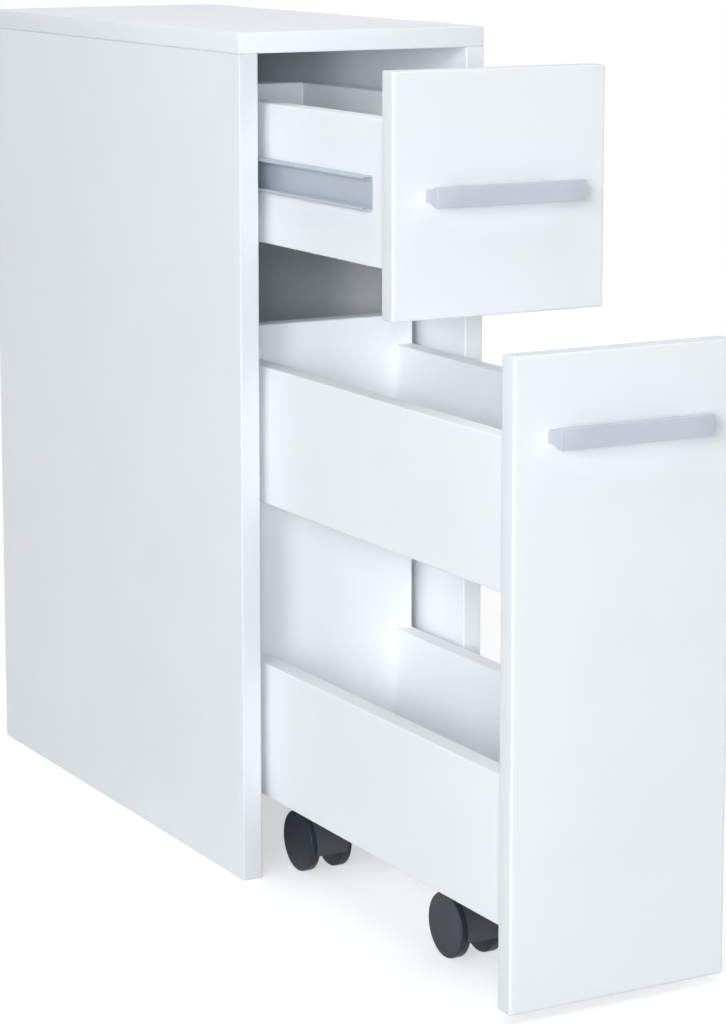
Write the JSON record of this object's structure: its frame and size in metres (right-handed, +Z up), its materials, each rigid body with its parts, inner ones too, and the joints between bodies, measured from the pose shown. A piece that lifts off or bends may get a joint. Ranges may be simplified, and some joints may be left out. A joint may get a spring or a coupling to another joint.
{
  "type": "narrow storage organizer",
  "caption": "Narrow white floor cabinet with an inset drawer on ball slides above a tall pull-out of open trays that rolls on swivel casters; its fronts have bar handles.",
  "frame": {"origin": "floor level, in the middle of the back face that stands at the wall", "axes": "+X to the right seen from the front, +Y to the back, +Z up; the drawer and the pull-out open towards -Y"},
  "size_m": [0.2, 0.8062, 0.615],
  "materials": {
    "white_board": "smooth white melamine with matching edge band",
    "thin_board": "thin white-faced fibre board",
    "handle_metal": "matt silver grey",
    "slide_steel": "zinc-plated rolled steel",
    "bright_steel": "ground steel",
    "zinc": "zinc plated",
    "dowel_wood": "plain beech",
    "cage_plastic": "moulded grey",
    "guide_plastic": "moulded off-white",
    "caster_hood": "satin charcoal",
    "caster_wheel": "satin charcoal"
  },
  "bodies": {
    "cabinet": {"side_left": "white_board", "side_right": "white_board", "top": "white_board", "back": "thin_board", "stretcher": "white_board", "carcass_dowels": "dowel_wood", "cam_discs": "zinc", "cam_bolts": "zinc", "back_nails": "zinc", "slide_outer_left": "slide_steel", "slide_outer_right": "slide_steel", "slide_outer_screws": "zinc"},
    "drawer": {"drawer_front": "white_board", "drawer_side_left": "white_board", "drawer_side_right": "white_board", "drawer_back": "white_board", "drawer_bottom": "thin_board", "drawer_handle": "handle_metal", "drawer_handle_screws": "zinc", "drawer_dowels": "dowel_wood", "drawer_box_screws": "zinc", "slide_inner_left": "slide_steel", "slide_inner_right": "slide_steel", "slide_inner_screws": "zinc"},
    "cage_left": {"ball_cage_left": "cage_plastic", "balls_left": "bright_steel"},
    "cage_right": {"ball_cage_right": "cage_plastic", "balls_right": "bright_steel"},
    "pullout": {"pullout_front": "white_board", "pullout_rear": "white_board", "upper_tray_left": "white_board", "upper_tray_right": "white_board", "upper_tray_bottom": "white_board", "lower_tray_left": "white_board", "lower_tray_right": "white_board", "lower_tray_bottom": "white_board", "pullout_handle": "handle_metal", "pullout_handle_screws": "zinc", "pullout_dowels": "dowel_wood", "pullout_rear_screws": "zinc", "pullout_guides": "guide_plastic", "pullout_wood_screws": "zinc", "caster_plates": "slide_steel"},
    "caster_front_left": {"hood_front_left": "caster_hood", "axle_front_left": "bright_steel"},
    "wheel_front_left_l": {"wheel_front_left_l": "caster_wheel"},
    "wheel_front_left_r": {"wheel_front_left_r": "caster_wheel"},
    "caster_front_right": {"hood_front_right": "caster_hood", "axle_front_right": "bright_steel"},
    "wheel_front_right_l": {"wheel_front_right_l": "caster_wheel"},
    "wheel_front_right_r": {"wheel_front_right_r": "caster_wheel"},
    "caster_rear_left": {"hood_rear_left": "caster_hood", "axle_rear_left": "bright_steel"},
    "wheel_rear_left_l": {"wheel_rear_left_l": "caster_wheel"},
    "wheel_rear_left_r": {"wheel_rear_left_r": "caster_wheel"},
    "caster_rear_right": {"hood_rear_right": "caster_hood", "axle_rear_right": "bright_steel"},
    "wheel_rear_right_l": {"wheel_rear_right_l": "caster_wheel"},
    "wheel_rear_right_r": {"wheel_rear_right_r": "caster_wheel"}
  },
  "joints": [
    {"name": "drawer_slide", "type": "slide", "parent": "cabinet", "child": "drawer", "axis": [0, -1, 0], "range_m": [-0.1875, 0.0625]},
    {"name": "cage_left_slide", "type": "slide", "parent": "cabinet", "child": "cage_left", "axis": [0, -1, 0], "range_m": [-0.09375, 0.03125]},
    {"name": "cage_right_slide", "type": "slide", "parent": "cabinet", "child": "cage_right", "axis": [0, -1, 0], "range_m": [-0.09375, 0.03125]},
    {"name": "pullout_slide", "type": "slide", "parent": "cabinet", "child": "pullout", "axis": [0, -1, 0], "range_m": [-0.34, 0.06]},
    {"name": "swivel_front_left", "type": "hinge", "parent": "pullout", "child": "caster_front_left", "pos_m": [-0.037, -0.6465, 0], "axis": [0, 0, 1], "continuous": true},
    {"name": "roll_front_left_l", "type": "hinge", "parent": "caster_front_left", "child": "wheel_front_left_l", "pos_m": [-0.037, -0.66, 0.0225], "axis": [1, 0, 0], "continuous": true},
    {"name": "roll_front_left_r", "type": "hinge", "parent": "caster_front_left", "child": "wheel_front_left_r", "pos_m": [-0.037, -0.66, 0.0225], "axis": [1, 0, 0], "continuous": true},
    {"name": "swivel_front_right", "type": "hinge", "parent": "pullout", "child": "caster_front_right", "pos_m": [0.037, -0.6465, 0], "axis": [0, 0, 1], "continuous": true},
    {"name": "roll_front_right_l", "type": "hinge", "parent": "caster_front_right", "child": "wheel_front_right_l", "pos_m": [0.037, -0.66, 0.0225], "axis": [1, 0, 0], "continuous": true},
    {"name": "roll_front_right_r", "type": "hinge", "parent": "caster_front_right", "child": "wheel_front_right_r", "pos_m": [0.037, -0.66, 0.0225], "axis": [1, 0, 0], "continuous": true},
    {"name": "swivel_rear_left", "type": "hinge", "parent": "pullout", "child": "caster_rear_left", "pos_m": [-0.037, -0.4325, 0], "axis": [0, 0, 1], "continuous": true},
    {"name": "roll_rear_left_l", "type": "hinge", "parent": "caster_rear_left", "child": "wheel_rear_left_l", "pos_m": [-0.037, -0.446, 0.0225], "axis": [1, 0, 0], "continuous": true},
    {"name": "roll_rear_left_r", "type": "hinge", "parent": "caster_rear_left", "child": "wheel_rear_left_r", "pos_m": [-0.037, -0.446, 0.0225], "axis": [1, 0, 0], "continuous": true},
    {"name": "swivel_rear_right", "type": "hinge", "parent": "pullout", "child": "caster_rear_right", "pos_m": [0.037, -0.4325, 0], "axis": [0, 0, 1], "continuous": true},
    {"name": "roll_rear_right_l", "type": "hinge", "parent": "caster_rear_right", "child": "wheel_rear_right_l", "pos_m": [0.037, -0.446, 0.0225], "axis": [1, 0, 0], "continuous": true},
    {"name": "roll_rear_right_r", "type": "hinge", "parent": "caster_rear_right", "child": "wheel_rear_right_r", "pos_m": [0.037, -0.446, 0.0225], "axis": [1, 0, 0], "continuous": true}
  ],
  "couplings": [
    {"joint": "cage_left_slide", "follows": "drawer_slide", "ratio": 0.5},
    {"joint": "cage_right_slide", "follows": "drawer_slide", "ratio": 0.5}
  ]
}
